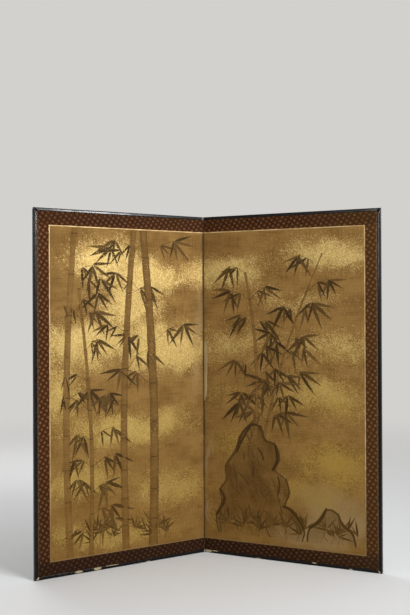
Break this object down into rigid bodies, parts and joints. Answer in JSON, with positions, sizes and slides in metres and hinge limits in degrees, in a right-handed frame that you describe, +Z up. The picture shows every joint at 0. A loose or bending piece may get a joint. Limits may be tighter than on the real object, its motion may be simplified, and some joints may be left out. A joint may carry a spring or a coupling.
{
  "type": "folding screen",
  "caption": "Folding screen of papered lattice panels in lacquered frames, joined by double-acting paper hinges; stands in a V and folds flat either way.",
  "frame": {"origin": "centre of the standing screen's bounding box, on the floor, with the panels opened to 119 degrees", "axes": "+Z up; the painted faces look towards -Y, from where the screen is viewed; the fold is on the +Y side; the YZ plane halves the angle between the panels"},
  "size_m": [1.6126, 0.4856, 1.7],
  "materials": {
    "core_wood": "planed cedar",
    "underpaper": "layered handmade paper",
    "edge_paper": "brown dyed paper, worn",
    "hinge_paper": "tough handmade paper",
    "painted_silk": "aged silk with sprinkled gold and ink",
    "brocade": "brown figured silk brocade",
    "gilt_paper": "gilt paper, dulled",
    "black_lacquer": "black lacquer, satin gloss, worn at the edges",
    "bamboo": "split bamboo",
    "back_paper": "block-printed paper"
  },
  "bodies": {
    "left_panel": {"left_core_stile_outer": "core_wood", "left_core_stile_hinge": "core_wood", "left_core_rail_top": "core_wood", "left_core_rail_bottom": "core_wood", "left_lattice_uprights": "core_wood", "left_lattice_crossbars": "core_wood", "left_front_underpaper": "underpaper", "left_back_underpaper": "underpaper", "left_edge_paper": "edge_paper", "left_painting": "painted_silk", "left_border_top": "brocade", "left_border_side": "brocade", "left_border_bottom": "brocade", "left_gold_trim": "gilt_paper", "left_frame_top": "black_lacquer", "left_frame_side": "black_lacquer", "left_frame_bottom": "black_lacquer", "left_frame_pegs": "bamboo", "left_back_paper": "back_paper", "hinge_strip_1_front": "hinge_paper", "hinge_strip_2_back": "hinge_paper", "hinge_strip_3_front": "hinge_paper", "hinge_strip_4_back": "hinge_paper", "hinge_strip_5_front": "hinge_paper", "hinge_strip_6_back": "hinge_paper"},
    "right_panel": {"right_core_stile_outer": "core_wood", "right_core_stile_hinge": "core_wood", "right_core_rail_top": "core_wood", "right_core_rail_bottom": "core_wood", "right_lattice_uprights": "core_wood", "right_lattice_crossbars": "core_wood", "right_front_underpaper": "underpaper", "right_back_underpaper": "underpaper", "right_edge_paper": "edge_paper", "right_painting": "painted_silk", "right_border_top": "brocade", "right_border_side": "brocade", "right_border_bottom": "brocade", "right_gold_trim": "gilt_paper", "right_frame_top": "black_lacquer", "right_frame_side": "black_lacquer", "right_frame_bottom": "black_lacquer", "right_frame_pegs": "bamboo", "right_back_paper": "back_paper", "hinge_strip_1_back": "hinge_paper", "hinge_strip_2_front": "hinge_paper", "hinge_strip_3_back": "hinge_paper", "hinge_strip_4_front": "hinge_paper", "hinge_strip_5_back": "hinge_paper", "hinge_strip_6_front": "hinge_paper"},
    "hinge_leaves_a": {"hinge_strip_1_web": "hinge_paper", "hinge_strip_3_web": "hinge_paper", "hinge_strip_5_web": "hinge_paper"},
    "hinge_leaves_b": {"hinge_strip_2_web": "hinge_paper", "hinge_strip_4_web": "hinge_paper", "hinge_strip_6_web": "hinge_paper"}
  },
  "joints": [
    {"name": "front_fold", "type": "hinge", "parent": "hinge_leaves_a", "child": "left_panel", "pos_m": [0, 0.22558, 0], "axis": [0, 0, -1], "range_deg": [-119, 61]},
    {"name": "back_fold", "type": "hinge", "parent": "hinge_leaves_a", "child": "right_panel", "pos_m": [0.01035, 0.24316, 0], "axis": [0, 0, 1], "range_deg": [0, 180]},
    {"name": "back_fold_leaves", "type": "hinge", "parent": "left_panel", "child": "hinge_leaves_b", "pos_m": [-0.01035, 0.24316, 0], "axis": [0, 0, 1], "range_deg": [0, 180]}
  ],
  "couplings": [
    {"joint": "back_fold_leaves", "follows": "back_fold", "ratio": 1}
  ]
}
